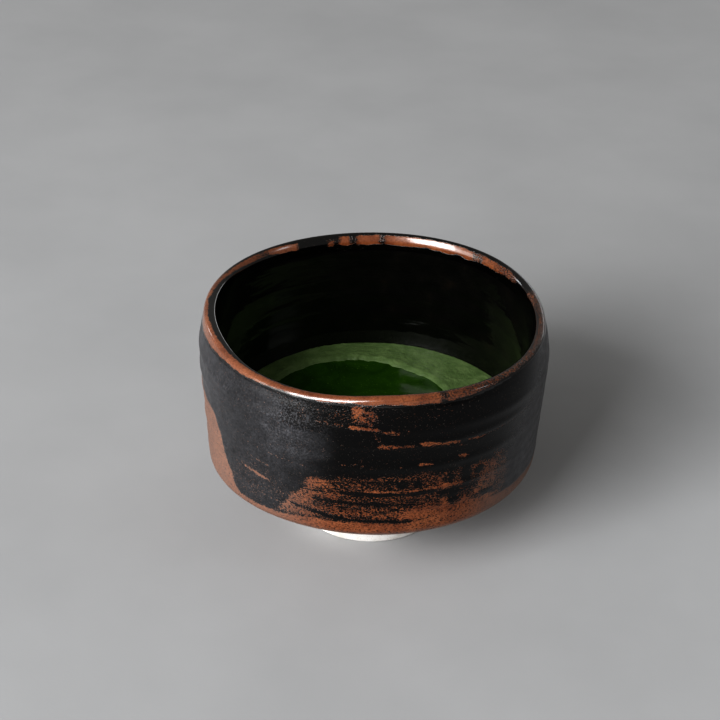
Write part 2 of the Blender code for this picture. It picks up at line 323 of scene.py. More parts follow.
def place(piece, node):
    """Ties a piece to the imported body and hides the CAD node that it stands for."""
    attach(piece, "root")
    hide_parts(node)


# ---------------------------------------------------------------- glaze pattern on the outside
class Glaze:
    """How much rust shows at each point of the outside, painted as a potter's pour would leave it."""

    ARC = math.radians(1.0) * WALL_RADIUS  # mm per degree round the wall

    def __init__(self, degrees, height):
        self.degrees, self.height = degrees, height
        self.wobble = wall_waves(np.radians(degrees), height, 5, low=2.0, high=14.0, flat=1.5)
        self.rust = np.zeros(degrees.shape)

    def stroke(self, start, end, width, amount, taper=0.35):
        """A streak of rust between two (degrees, height) points. A negative amount takes rust away."""
        (d0, z0), (d1, z1) = start, end
        ax, bx = d0 * self.ARC, d1 * self.ARC
        x, z = self.degrees * self.ARC, self.height
        length = (bx - ax) ** 2 + (z1 - z0) ** 2
        t = np.clip(((x - ax) * (bx - ax) + (z - z0) * (z1 - z0)) / length, 0.0, 1.0)
        off = np.hypot(x - (ax + t * (bx - ax)), (z - (z0 + t * (z1 - z0))))
        swell = 1.0 - taper * (2.0 * t - 1.0) ** 2 + 0.34 * self.wobble
        half = 0.5 * width * np.maximum(swell, 0.1)
        self.add(amount * (1.0 - smoothstep(0.45, 1.25, off / half)))

    def blob(self, centre, size, amount, soft=0.35):
        """An oval patch: size is (degrees, mm) half widths."""
        d = np.hypot((self.degrees - centre[0]) / size[0], (self.height - centre[1]) / size[1])
        self.add(amount * (1.0 - smoothstep(1.0 - soft, 1.0 + soft, d + 0.12 * self.wobble)))

    def patch(self, outline, amount, soft=1.2):
        """A patch inside an outline of (degrees, height) corners."""
        corners = np.array(outline, float) * [self.ARC, 1.0]
        x, z = self.degrees * self.ARC, self.height
        inside = np.zeros(x.shape, bool)
        nearest = np.full(x.shape, 1e9)
        for a, b in zip(corners, np.roll(corners, -1, axis=0)):
            crosses = ((a[1] > z) != (b[1] > z)) & (
                x < (b[0] - a[0]) * (z - a[1]) / np.where(b[1] == a[1], 1e-9, b[1] - a[1]) + a[0]
            )
            inside ^= crosses
            edge = b - a
            t = np.clip(((x - a[0]) * edge[0] + (z - a[1]) * edge[1]) / (edge @ edge), 0.0, 1.0)
            nearest = np.minimum(nearest, np.hypot(x - a[0] - t * edge[0], z - a[1] - t * edge[1]))
        depth = np.where(inside, nearest, -nearest) + 0.5 * self.wobble
        self.add(amount * smoothstep(-soft, soft, depth))

    def add(self, amount):
        self.rust = np.clip(self.rust + amount, 0.0, 1.0)


def lower_rust(glaze):
    """The plain rust below the black pour."""
    at_hip = glaze.height - line_at(RUST_AT_HIP, glaze.degrees) + 0.35 * glaze.wobble
    at_side = glaze.height - line_at(RUST_AT_SIDE, glaze.degrees) + 0.5 * glaze.wobble
    glaze.rust = np.maximum(smoothstep(0.7, -0.7, at_hip), smoothstep(0.9, -0.9, at_side))


def window(glaze):
    """The speckled window at the front, where the rust shows through a thin pour."""
    glaze.patch([
        (-34, 29), (-30, 34), (-23, 43.5), (-21, 47), (-10, 49), (5, 50.8), (20, 51.6), (30, 50.8),
        (31, 42), (40, 36), (50, 29),
    ], 0.50)  # fmt: skip
    glaze.patch([(-33, 30), (-29, 35), (-23, 42), (-20, 44), (-19, 38), (-22, 34), (-20, 31)], 0.28)
    glaze.blob((-18, 46.0), (4.0, 2.2), 0.35)
    glaze.blob((-15, 41.0), (5.0, 1.5), 0.18)
    glaze.stroke((23.8, 50.5), (25.5, 33.0), 4.6, 0.36)
    glaze.patch([(10, 31), (12, 36.5), (30, 37), (46, 36), (50, 31)], 0.45)
    glaze.stroke((-20, 34.6), (26, 34.4), 3.6, 0.20)
    for start, end, width, amount in GROOVES:
        glaze.stroke(start, end, width, amount)
    for centre, size, amount in WINDOW_SPOTS:
        glaze.blob(centre, size, amount)


def ear(glaze):
    """The ear-shaped ring at the right of the window."""
    glaze.patch([(33, 50), (36, 51.5), (41, 50), (44, 45), (44, 38), (40, 35), (36, 37), (34, 43)], 0.68)
    glaze.blob((36.5, 47.6), (1.7, 1.6), -0.75)
    glaze.blob((36.0, 42.5), (1.4, 2.6), -0.35)
    glaze.patch([(41, 53), (47, 52), (51, 42), (51, 33), (44, 33), (45, 43)], 0.46, soft=2.0)
    glaze.blob((39, 35.8), (5.0, 1.6), -0.5)
    glaze.blob((46, 34.6), (3.2, 1.3), -0.45)


def dashes(glaze):
    """The dashes on the throwing ridges, and single specks."""
    for start, end, width, amount in DASHES:
        glaze.stroke(start, end, width, amount)
    for centre in SPECKS:
        glaze.blob(centre, SPECK_SIZE, SPECK_AMOUNT)


def marks_under_lip(glaze):
    """The blob under the lip, with a dark heart, and the dust of speckles beside it and at the left."""
    glaze.blob((-4.4, 74.4), (2.1, 2.8), 0.60)
    glaze.blob((-1.0, 73.4), (2.4, 2.6), 0.64)
    glaze.blob((-2.7, 74.7), (0.8, 0.7), -0.60)
    glaze.blob((0.4, 72.2), (0.7, 0.5), -0.40)
    glaze.patch([(-7.5, 79), (1.5, 79), (1.0, 75.5), (-6.5, 75.5)], 0.34)
    glaze.patch([(-14, 78), (-5, 77.6), (-4, 71), (-10, 70)], 0.21, soft=2.0)
    glaze.patch([(-33, 76), (-14, 78), (-10, 71), (-22, 71)], 0.13, soft=2.0)
    glaze.patch([(1, 78), (24, 79), (22, 72), (4, 71)], 0.07, soft=2.0)
    glaze.patch([(-60, 31), (-50, 44), (-36, 45), (-28, 38), (-33, 31)], 0.18, soft=3.0)


def lip_rust(degrees, along, above_edge, ragged):
    """The lip's rust: down to its outer edge and over the crest to just inside, crossed by runs of black."""
    outside = smoothstep(-0.35, 0.35, above_edge + ragged)
    inside = smoothstep(-0.3, 0.3, along + line_at(BAND_REACH, degrees) + ragged)
    band = np.where(along > 0, outside, 1.0) * inside
    gaps = 0.0 * degrees
    for centre, half, depth in LIP_GAPS:
        off = np.abs(degrees - centre) / half + 1.3 * ragged
        gaps = np.maximum(gaps, depth * (1.0 - smoothstep(0.5, 1.4, off)))
    # At the rear the black covers the outer side of the lip, up to the crest.
    rear = smoothstep(98.0, 128.0, np.abs(degrees))
    rear_left = smoothstep(-160.0, -120.0, degrees) * (degrees < 0)
    outer_side = smoothstep(-1.2, -0.5, along + 0.8 * ragged - 0.8 * rear_left)
    band = band * (1.0 - 0.95 * rear * outer_side) * (1.0 - gaps)
    # On the right the rust lies thinner.
    return band * (1.0 - 0.40 * smoothstep(2.0, 40.0, degrees) * smoothstep(150.0, 110.0, degrees))


def satin_and_sheen_field(degrees, along, height, below_edge, painted_sheen_patch):
    """How matt the black is, with painted sheen: satin and painted sheen on the left, a painted sheen patch,
    a painted floor reflection on the right, glossy between.
    """
    satin_and_painted_sheen = 0.76 * smoothstep(-9.0, -38.0, degrees) + 0.34 * smoothstep(-46.0, -66.0, degrees)
    satin_and_painted_sheen = satin_and_painted_sheen * smoothstep(-175.0, -110.0, degrees) + smoothstep(1.25, 0.1, painted_sheen_patch)
    # A painted reflection of the floor lightens the right side; it starts further to the right higher up.
    start = 43.0 + 0.65 * np.clip(height - 48.0, -6.0, 30.0)
    painted_floor_reflection = 0.75 * smoothstep(start - 8.0, start + 10.0, degrees)
    painted_floor_reflection = painted_floor_reflection + 0.55 * smoothstep(start + 2.0, start + 24.0, degrees)
    satin_and_painted_sheen = np.maximum(satin_and_painted_sheen, painted_floor_reflection * smoothstep(150.0, 95.0, degrees))
    satin_and_painted_sheen = satin_and_painted_sheen * smoothstep(0.2, 1.5, below_edge) * (along > 0)
    # The lip is duller where it faces the satin side, and painted sheen lightens it there.
    dull_and_painted_sheen = 0.15 * smoothstep(-20.0, -50.0, degrees) * smoothstep(-120.0, -70.0, degrees)
    return np.maximum(satin_and_painted_sheen, dull_and_painted_sheen * smoothstep(77.5, 79.0, height) * (along > -1.2))


def pebbling(degrees, along, height, below_edge, painted_sheen_patch):
    """Where the black is pitted: under the lip at the front left, and less so in the patch of painted sheen.
    """
    pebble = smoothstep(-38.0, -26.0, degrees) * smoothstep(3.0, -9.0, degrees)
    pebble = pebble * smoothstep(62.0, 72.0, height)
    pebble = np.maximum(pebble, 0.45 * smoothstep(1.2, 0.4, painted_sheen_patch))
    return pebble * smoothstep(0.0, 0.8, below_edge) * (along > 0)


def outer_fields(theta, along):
    """Rust, satin (with painted sheen) and pebble fields at each point of the outside, lip band included."""
    degrees = np.degrees(theta) + 0.0 * along
    height = section_at(along)[1] + 0.0 * theta
    glaze = Glaze(degrees, height - lip_drop(theta, height))
    for paint in (lower_rust, window, ear, dashes, marks_under_lip):
        paint(glaze)
    above_edge = height - line_at(LIP_RUST, degrees)
    ragged = 0.24 * wall_waves(theta, along, 9, low=1.5, high=12.0, flat=0.6)
    band = lip_rust(degrees, along, above_edge, ragged)
    rust = np.where(along < at_outside(LIP_ZONE_BASE), np.maximum(band, glaze.rust * (along > 0)), glaze.rust)
    # 0 in the middle of the patch of painted sheen, 1 at its rim.
    painted_sheen_patch = np.hypot((degrees + 27.0) / 14.0, (height - 65.0) / 16.0) + 0.12 * glaze.wobble
    satin_and_painted_sheen = satin_and_sheen_field(degrees, along, height, -above_edge, painted_sheen_patch)
    return rust, satin_and_painted_sheen, pebbling(degrees, along, height, -above_edge, painted_sheen_patch)


def outer_relief(theta, along, rust):
    """The relief (mm) of the wall over the section: ridges, dents of the hand and the proud black pour."""
    degrees, height = np.degrees(theta), section_at(along)[1]
    relief = 0.16 * wall_waves(theta, height, 3, low=28.0, high=90.0)
    for middle, rise, tall, half in RIDGES:
        drift = middle + rise * np.sin(theta) + 0.35 * np.sin(2.0 * theta + middle)
        fade = 0.75 + 0.35 * np.sin(3.0 * theta + 0.7 * middle)
        relief = relief + tall * fade * np.exp(-(((height - drift) / half) ** 2))
    wall = smoothstep(25.0, 29.0, height) * smoothstep(79.5, 76.5, height) * (along > 0)
    softened = 0.55 * smoothstep(25.0, 60.0, degrees) * smoothstep(150.0, 110.0, degrees)
    proud = smoothstep(24.0, 30.0, height) * (along > 0)
    return relief * wall * (1.0 - softened) + POUR_STANDS * (1.0 - rust) * proud


# ---------------------------------------------------------------- materials
# The crystal film colour below is partly the real satin film and partly painted sheen.
BLACK_GLAZE, CRYSTAL_FILM_AND_SHEEN, GLAZE_DUST = (0.0010, 0.0009, 0.0009), (0.148, 0.148, 0.160), (0.10, 0.085, 0.07)
# The pale rust colour below is painted sheen washed over the rust.
RUST_PALED_BY_PAINTED_SHEEN, CLAY_SPECK = (0.205, 0.138, 0.112), (0.30, 0.20, 0.13)
# The froth's darker crease colour below is painted shade in the creases between bubbles.
TEA_MOTE, FROTH_PAINTED_SHADE = (0.085, 0.17, 0.03), (0.07, 0.13, 0.025)
# Ramps: place along the ramp, colour.
RUST_SHADES = [
    (0.08, (0.012, 0.006, 0.004)), (0.23, (0.052, 0.020, 0.010)), (0.48, (0.160, 0.053, 0.021)),
    (0.92, (0.248, 0.090, 0.041)),
]  # fmt: skip
RUST_TINTS = [(0.30, (0.60, 0.52, 0.50)), (0.52, (1.0, 1.0, 1.0)), (0.75, (1.22, 1.30, 1.25))]
INSIDE_SHADES = [
    (0.30, (0.0022, 0.0022, 0.0020)), (0.60, (0.0042, 0.0038, 0.0034)), (0.80, (0.0085, 0.0062, 0.0045)),
]  # fmt: skip
CLAY_SHADES = [(0.28, (0.55, 0.52, 0.47)), (0.50, (0.69, 0.675, 0.645)), (0.74, (0.76, 0.75, 0.73))]
TEA_SHADES = [(0.30, (0.015, 0.046, 0.0025)), (0.52, (0.023, 0.068, 0.004)), (0.75, (0.036, 0.095, 0.007))]
FROTH_SHADES = [(0.28, (0.090, 0.142, 0.050)), (0.52, (0.132, 0.196, 0.076)), (0.76, (0.190, 0.262, 0.112))]
FLOOR_SHADES = [(0.35, (0.375, 0.378, 0.383)), (0.65, (0.402, 0.405, 0.410))]


class Tree:
    """Short names for building a node tree."""

    def __init__(self, name):
        self.material = bpy.data.materials.new(name)
        self.material.use_nodes = True
        self.nodes, self.links = self.material.node_tree.nodes, self.material.node_tree.links
        self.shader = self.nodes["Principled BSDF"]

    def add(self, kind, settings=None, **inputs):
        node = self.nodes.new(kind)
        for key, value in (settings or {}).items():
            setattr(node, key, value)
        for key, value in inputs.items():
            by_number = key[0] == "i" and key[1:].isdigit()
            self.feed(node.inputs[int(key[1:]) if by_number else key.replace("_", " ")], value)
        return node

    def feed(self, socket, value):
        if isinstance(value, bpy.types.NodeSocket):
            self.links.new(value, socket)
        else:
            socket.default_value = value

    def math(self, operation, a, b=0.0, c=0.0):
        return self.add("ShaderNodeMath", {"operation": operation}, i0=a, i1=b, i2=c).outputs[0]

    def spread(self, value, low, high, to_low=0.0, to_high=1.0, kind="LINEAR"):
        node = self.add("ShaderNodeMapRange", {"interpolation_type": kind}, Value=value)
        for key, number in (("From Min", low), ("From Max", high), ("To Min", to_low), ("To Max", to_high)):
            node.inputs[key].default_value = number
        return node.outputs[0]

    def mix(self, share, a, b, blend="MIX"):
        """Two colours mixed. Each is a socket or (red, green, blue)."""
        a, b = [(*colour, 1.0) if isinstance(colour, tuple) else colour for colour in (a, b)]
        settings = {"data_type": "RGBA", "blend_type": blend}
        return self.add("ShaderNodeMix", settings, i0=share, i6=a, i7=b).outputs[2]

    def between(self, share, a, b):
        """A number between two numbers."""
        return self.add("ShaderNodeMix", {"data_type": "FLOAT"}, i0=share, i2=a, i3=b).outputs[0]

    def ramp(self, value, stops):
        node = self.add("ShaderNodeValToRGB")
        self.links.new(value, node.inputs[0])
        ramp = node.color_ramp
        while len(ramp.elements) < len(stops):
            ramp.elements.new(0.5)
        for element, (at, colour) in zip(ramp.elements, stops):
            element.position, element.color = at, (*colour, 1.0)
        return node.outputs[0]

    def millimetres(self, squash=1.0, offset=0.0):
        """Object coordinates in mm, heights stretched by squash so that marks lie flatter."""
        where = self.add("ShaderNodeTexCoord").outputs["Object"]
        node = self.add("ShaderNodeMapping", None, Vector=where)
        node.inputs["Scale"].default_value = (1000.0, 1000.0, 1000.0 * squash)
        node.inputs["Location"].default_value = (offset, offset, offset)
        return node.outputs[0]

    def noise(self, where, size, detail=3.0, roughness=0.55, distortion=0.0):
        """Noise with marks about size mm across."""
        return self.add(
            "ShaderNodeTexNoise", None, Vector=where, Scale=1.0 / size, Detail=detail,
            Roughness=roughness, Distortion=distortion,
        ).outputs[0]  # fmt: skip

    def field(self, name):
        return self.add("ShaderNodeAttribute", {"attribute_name": name}).outputs["Fac"]

    def bump(self, height, depth_mm, strength=1.0, below=None):
        node = self.add("ShaderNodeBump", None, Height=height, Strength=strength, Distance=depth_mm * MM)
        if below is not None:
            self.links.new(below, node.inputs["Normal"])
        return node.outputs[0]

    def finish(self, colour, roughness, normal, **uniform):
        self.feed(self.shader.inputs["Base Color"], colour)
        self.feed(self.shader.inputs["Roughness"], roughness)
        self.feed(self.shader.inputs["Normal"], normal)
        for key, value in uniform.items():
            self.shader.inputs[key.replace("_", " ")].default_value = value
        return self.material


def outer_glaze_material(name, gloss=False):
    """Black glaze broken to iron rust where it lies thin. The satin field dulls it and lightens it with
    painted sheen; the pebble field pits it.
    """
    t = Tree(name)
    rust, satin_and_painted_sheen, pebble = t.field("rust"), t.field("satin_and_painted_sheen"), t.field("pebble")
    flat = t.millimetres(squash=1.35)
    even = t.millimetres(offset=31.0)
    mid = t.noise(flat, 0.72, detail=3.0, roughness=0.62)
    cells = t.add("ShaderNodeTexVoronoi", {"feature": "SMOOTH_F1"}, Vector=even, Scale=1.0 / 0.28)
    cell = t.add("ShaderNodeSeparateColor", None, Color=cells.outputs["Color"]).outputs[0]
    grain = t.math("MULTIPLY_ADD", cell, 0.60, t.spread(mid, 0.36, 0.64, -0.40, 0.40))
    grain = t.math("ADD", grain, -0.30)
    # Rust shows where this passes a half.
    shown = t.math("MULTIPLY_ADD", grain, 0.46 if gloss else 0.98, rust)
    shown = t.math("MULTIPLY_ADD", t.spread(t.noise(even, 5.0), 0.3, 0.7, -0.5, 0.5), 0.10, shown)

    # The satin side is a film of fine crystals, lightened with painted sheen, thinner in patches and pitted
    # under the lip.
    film = t.spread(t.noise(even, 3.6, detail=4.0, roughness=0.6), 0.30, 0.70, 0.72, 1.22)
    mottle = t.spread(t.noise(even, 0.75, detail=3.0, roughness=0.7), 0.32, 0.68, 0.55, 1.42)
    film = t.math("MULTIPLY", film, mottle)
    pits = t.math("MULTIPLY", pebble, t.spread(t.noise(even, 0.62, detail=2.0), 0.48, 0.58, 0.97, 0.0))
    film = t.math("MULTIPLY", film, t.math("SUBTRACT", 1.0, pits))
    film_and_painted_sheen = t.math("MULTIPLY", t.math("MULTIPLY", satin_and_painted_sheen, 0.25), film)
    dark = t.mix(film_and_painted_sheen, BLACK_GLAZE, CRYSTAL_FILM_AND_SHEEN)
    dust = t.spread(t.noise(t.millimetres(offset=77.0), 0.55, detail=1.0), 0.70, 0.76)
    dark = t.mix(t.math("MULTIPLY", dust, 0.5), dark, GLAZE_DUST)

    # The rust turns from brown to orange where it shows most, and paler where painted sheen washes over it on
    # the satin side.
    rusty = t.ramp(t.spread(shown, 0.3, 1.5), RUST_SHADES)
    tint = t.ramp(t.noise(even, 8.0, detail=5.0), RUST_TINTS)
    rusty = t.mix(0.9, rusty, tint, blend="MULTIPLY")
    painted_sheen_on_rust = t.math("MULTIPLY", t.math("MINIMUM", satin_and_painted_sheen, 1.0), 0.72)
    bare = t.spread(shown, 0.34, 0.66, kind="SMOOTHSTEP")
    colour = t.mix(bare, dark, t.mix(painted_sheen_on_rust, rusty, RUST_PALED_BY_PAINTED_SHEEN))

    sheen = t.noise(even, 3.0, detail=3.0)
    shiny = t.spread(sheen, 0.3, 0.7, 0.09, 0.16)
    silky = t.spread(sheen, 0.3, 0.7, 0.30, 0.42)
    roughness = t.math("MULTIPLY_ADD", bare, 0.10 if gloss else 0.18, t.between(satin_and_painted_sheen, shiny, silky))

    peel = t.bump(t.noise(even, 2.4, detail=2.0), 0.10, strength=0.45)
    gritty = t.spread(pebble, 0.0, 1.0, 0.05, 1.0)
    grit = t.bump(t.noise(even, 0.70, detail=2.0), 0.16, strength=gritty, below=peel)
    step = t.bump(t.spread(shown, 0.42, 0.62, 1.0, 0.0), 0.09, strength=0.6, below=grit)
    if gloss:
        return t.finish(colour, roughness, step, IOR=1.58, Coat_Weight=0.5, Coat_Roughness=0.07)
    return t.finish(colour, roughness, step, IOR=1.50, Specular_IOR_Level=0.30)


def inner_glaze_material():
    t = Tree("inner_glaze")
    even = t.millimetres(offset=12.0)
    flat = t.millimetres(squash=4.0, offset=7.0)
    colour = t.ramp(t.noise(even, 7.0, detail=4.0), INSIDE_SHADES)
    roughness = t.spread(t.noise(even, 4.0, detail=3.0), 0.3, 0.7, 0.07, 0.13)
    rings = t.bump(t.noise(flat, 9.0, detail=1.0), 0.35, strength=0.35)
    peel = t.bump(t.noise(even, 2.6, detail=2.0), 0.08, strength=0.4, below=rings)
    return t.finish(colour, roughness, peel, IOR=1.52, Coat_Weight=0.2, Coat_Roughness=0.05)


def clay_material():
    t = Tree("bare_clay")
    even = t.millimetres(offset=3.0)
    turned = t.millimetres(squash=3.0, offset=19.0)
    colour = t.ramp(t.noise(even, 6.0, detail=5.0, roughness=0.65), CLAY_SHADES)
    specks = t.spread(t.noise(even, 0.5, detail=1.0), 0.69, 0.74)
    colour = t.mix(specks, colour, CLAY_SPECK)
    roughness = t.spread(t.noise(even, 1.5), 0.3, 0.7, 0.72, 0.90)
    tooth = t.bump(t.noise(even, 0.45, detail=3.0), 0.10, strength=0.7)
    drag = t.bump(t.noise(turned, 1.4, detail=2.0), 0.16, strength=0.5, below=tooth)
    return t.finish(colour, roughness, drag)


def tea_material():
    t = Tree("matcha_tea")
    even = t.millimetres(offset=5.0)
    swirl = t.noise(even, 14.0, detail=4.0, roughness=0.6, distortion=1.6)
    colour = t.ramp(swirl, TEA_SHADES)
    motes = t.spread(t.noise(even, 0.8, detail=2.0), 0.66, 0.74)
    colour = t.mix(motes, colour, TEA_MOTE)
    roughness = t.spread(t.noise(even, 3.0), 0.3, 0.7, 0.05, 0.11)
    ripple = t.bump(t.noise(even, 6.0, detail=2.0), 0.10, strength=0.35)
    return t.finish(colour, roughness, ripple, IOR=1.34, Specular_IOR_Level=0.35)


def froth_material():
    t = Tree("tea_froth")
    even = t.millimetres(offset=23.0)
    colour = t.ramp(t.noise(even, 5.0, detail=4.0), FROTH_SHADES)
    cells = t.add("ShaderNodeTexVoronoi", {"feature": "DISTANCE_TO_EDGE"}, Vector=even, Scale=1.0 / 0.6)
    wall = t.spread(cells.outputs["Distance"], 0.02, 0.18)
    # Painted shade: the creases between the bubbles are darkened.
    colour = t.mix(t.spread(wall, 0.0, 1.0, 0.22, 0.0), colour, FROTH_PAINTED_SHADE)
    roughness = t.spread(t.noise(even, 1.0), 0.3, 0.7, 0.30, 0.55)
    pits = t.bump(wall, 0.07, strength=0.6)
    return t.finish(colour, roughness, pits, IOR=1.34)


def floor_material():
    t = Tree("floor")
    even = t.millimetres()
    colour = t.ramp(t.noise(even, 90.0, detail=4.0), FLOOR_SHADES)
    return t.finish(colour, 0.75, t.bump(t.noise(even, 1.2, detail=2.0), 0.04, strength=0.4))


# ---------------------------------------------------------------- pieces
# The surface is as fine as its glaze needs: columns round the bowl, and rows from the middle of the floor
# to the lower inside wall, the lip's seam, the shoulder under the lip, the hip and the foot.
COLUMNS, CLOSER_AT_FRONT = 440, 0.30
ROWS = (26, 70, 38, 124, 36)
INSIDE_PART, LIP_PART, BLACK_PART, RUST_PART = range(4)


def inner_relief(theta, along):
    """Ridges and dents of the inside, in mm out of the clay. The rear lip is bevelled, the left one stout."""
    degrees, height = np.degrees(theta), section_at(along)[1]
    bevel = -0.50 * np.exp(-(((along + 1.96) / 1.5) ** 2)) * smoothstep(92.0, 125.0, np.abs(degrees))
    stout = 0.75 * smoothstep(-0.2, -2.4, along) * smoothstep(-9.0, -3.5, along)
    stout = stout * np.exp(-(((degrees + 82.0) / 30.0) ** 2))
    wall = smoothstep(30.0, 40.0, height) * smoothstep(78.0, 74.0, height) * (along < 0)
    dents = 0.12 * wall_waves(theta, height, 31, low=26.0, high=80.0)
    for middle, tall, half in INNER_RIDGES:
        drift = middle + 1.2 * np.sin(theta + middle)
        dents = dents + tall * np.exp(-(((height - drift) / half) ** 2))
    return dents * wall + bevel + stout


def surface_rows():
    """Distances along the section of the surface's rows."""
    stops = [ALONG[0] + 0.3, at_inside(34.0), at_inside(BAND_SEAM), at_outside(76.0), at_outside(25.0)]
    rows = [np.linspace(a, b, count, endpoint=False) for a, b, count in zip(stops, stops[1:], ROWS)]
    return np.concatenate(rows + [np.linspace(stops[-1], ALONG[-1], ROWS[-1])])


def glaze_parts(degrees, along, height):
    """Which of the four glaze pieces each place of the surface belongs to."""
    seam = at_inside(BAND_SEAM)
    part = np.where(height < line_at(BLACK_HEM, degrees), RUST_PART, BLACK_PART)
    lip_line = line_at(LIP_RUST, degrees) - LIP_PIECE_MARGIN
    lip_line = np.maximum(lip_line, REAR_LIP_LINE * (np.abs(degrees) > REAR_FROM))
    part = np.where((height > lip_line) & (along < LIP_PIECE_REACH), LIP_PART, part)
    part = np.where((along < 0.3) & (along >= seam - 0.01), LIP_PART, part)
    return np.where(along < seam - 0.01, INSIDE_PART, part)


def glaze_pieces():
    """The inside glaze, the lip's band, the black pour and the rust glaze, cut from one surface."""
    theta, along = columns(COLUMNS, CLOSER_AT_FRONT), surface_rows()
    round_about, down = theta[None, :], along[:, None]
    rust, satin_and_painted_sheen, pebble = outer_fields(round_about, down)
    relief = outer_relief(round_about, down, rust) + inner_relief(round_about, down)
    radius, height = section_at(down)
    out_radius, out_height = section_at(down, inset=-1.0)
    plan = plan_offset(round_about, radius, height)
    base = ring_points(
        radius + plan + relief * (out_radius - radius), round_about,
        height + relief * (out_height - height) - lip_drop(round_about, height),
    )  # fmt: skip
    # The glaze ends above the foot in a soft uneven roll, down to the clay behind it.
    roll_radius, roll_height = section_at(ALONG[-1], inset=0.75)
    wander = 0.3 * wall_waves(theta, 0.0, 21, low=12.0, high=50.0)
    last = ring_points(roll_radius + wander, theta, roll_height + 0.0 * theta)
    base[-1] += (last - base[-1]) * 0.15
    points = np.concatenate([base, last[None]])
    normals = grid_normals(points).reshape(-1, 3)
    quads = grid_quads(*points.shape[:2])
    parts = glaze_parts(np.degrees(round_about), down, height)

    fields = {}
    for name, field in (("rust", rust), ("satin_and_painted_sheen", satin_and_painted_sheen), ("pebble", pebble)):
        fields[name] = np.concatenate([field, field[-1:]]).reshape(-1)
    wall, lip = outer_glaze_material("wall_glaze"), outer_glaze_material("lip_glaze", gloss=True)
    for part, name, node, material in (
        (INSIDE_PART, "inner_glaze", "inner_glaze_coat", inner_glaze_material()),
        (LIP_PART, "lip_band", "rim_glaze_band", lip),
        (BLACK_PART, "black_pour", "black_glaze_coat", wall),
        (RUST_PART, "rust_glaze", "rust_glaze_coat", wall),
    ):  # fmt: skip
        marks = None if part == INSIDE_PART else fields
        piece = mesh_object(name, points.reshape(-1, 3), quads[parts == part], marks, normals, material)
        place(piece, node)


def turned_piece(name, node, profile, count, material, relief=None):
    """A revolved surface of bare clay, with the tool marks of turning."""
    theta = columns(count)[None, :]
    curve = smooth_curve(profile, pieces=10)
    radius, height = curve[:, 0][:, None], curve[:, 1][:, None]
    marks = relief(theta, radius, height) if relief is not None else 0.0
    points = ring_points(radius, theta, height + marks)
    quads = grid_quads(*points.shape[:2]).reshape(-1, 4)
    place(mesh_object(name, points.reshape(-1, 3), quads, None, None, material), node)


def foot_pieces():
    """The bare clay: the shoulder above the foot, the foot itself and the recess inside it."""
    clay = clay_material()

    def spiral(theta, radius, height):
        return 0.09 * np.sin(radius * 2.4 + theta) * smoothstep(3.0, 8.0, radius) * (height > 6.5)

    shoulder = [(28.9, 10.95), (28.3, 10.85), (27.7, 10.75), (27.3, 10.55)]
    turned_piece("clay_shoulder_ring", "clay_body", shoulder, 220, clay)
    recess = [
        (20.45, 7.6), (20.2, 7.15), (19.4, 6.95), (17.0, 6.95), (12.0, 7.05), (6.0, 7.0), (2.5, 6.6),
        (0.05, 6.35),
    ]  # fmt: skip
    turned_piece("clay_recess", "clay_body", recess, 220, clay, relief=spiral)
    half = FOOT_WIDTH / 2.0
    ring = [
        (half - 0.05, 10.6), (half - 0.25, 10.1), (half - 0.45, 8.9), (half - 0.6, 6.8),
        (half - 0.85, 3.8), (half - 1.05, 1.5), (half - 1.3, 0.55), (half - 1.75, 0.06),
        (half - 2.3, 0.0), (23.6, 0.03), (21.7, 0.0), (21.1, 0.14), (20.75, 0.7), (20.55, 1.6),
        (20.5, 4.6), (20.45, 7.6),
    ]  # fmt: skip
    turned_piece("foot", "foot_ring", ring, 260, clay)


def tea_piece():
    """The liquid: its side along the glaze inside, and a nearly flat top."""
    theta = columns(240)
    rows = np.linspace(at_inside(17.5), at_inside(TEA_LEVEL - 0.2), 14)
    radius, height = section_at(rows, inset=-0.32)
    round_about, radius, height = theta[None, :], radius[:, None], height[:, None]
    wall = ring_points(radius + plan_offset(round_about, radius, height), round_about, height)
    top = wall[-1][None] * np.linspace(0.995, 0.004, 60)[:, None, None]
    ripple = 0.03 * waves(top[..., 0], top[..., 1], 0.0, 44, low=12.0, high=50.0)
    top[..., 2] = TEA_LEVEL + ripple
    points = np.concatenate([wall, top])
    quads = grid_quads(*points.shape[:2], outward=False).reshape(-1, 4)
    piece = mesh_object("tea", points.reshape(-1, 3), quads, None, None, tea_material())
    place(piece, "matcha_tea")


